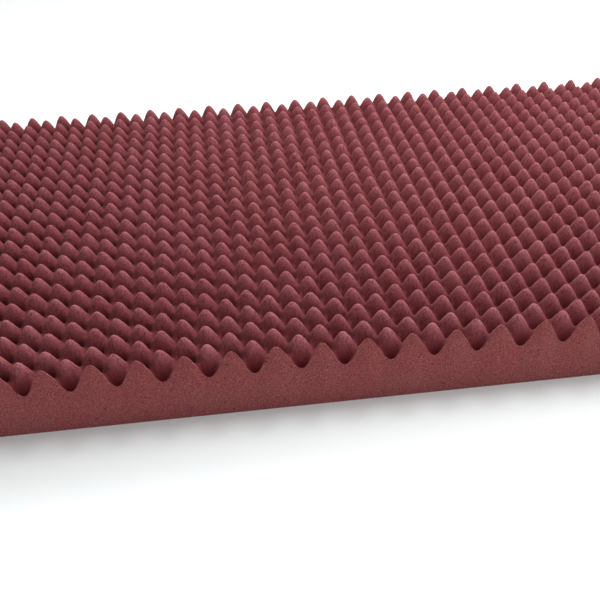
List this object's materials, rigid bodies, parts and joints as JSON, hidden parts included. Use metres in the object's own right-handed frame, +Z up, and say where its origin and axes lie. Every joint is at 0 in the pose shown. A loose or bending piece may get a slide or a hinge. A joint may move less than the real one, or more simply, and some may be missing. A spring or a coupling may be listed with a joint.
{
  "type": "convoluted foam mattress pad",
  "caption": "Flat sheet of open-cell foam with an egg-crate top of rounded bumps and pits, cut square on all sides, flat underneath.",
  "frame": {"origin": "centre of the bounding box at its base: the middle of the flat underside", "axes": "+Z up, out of the bumps; +X along the front cut, to the right; +Y from the front cut to the back cut"},
  "size_m": [0.759, 0.441, 0.06],
  "materials": {
    "foam": "matte open-cell foam, wine red, with a fine pore grain"
  },
  "bodies": {
    "root": {"foam_pad": "foam"}
  },
  "joints": []
}
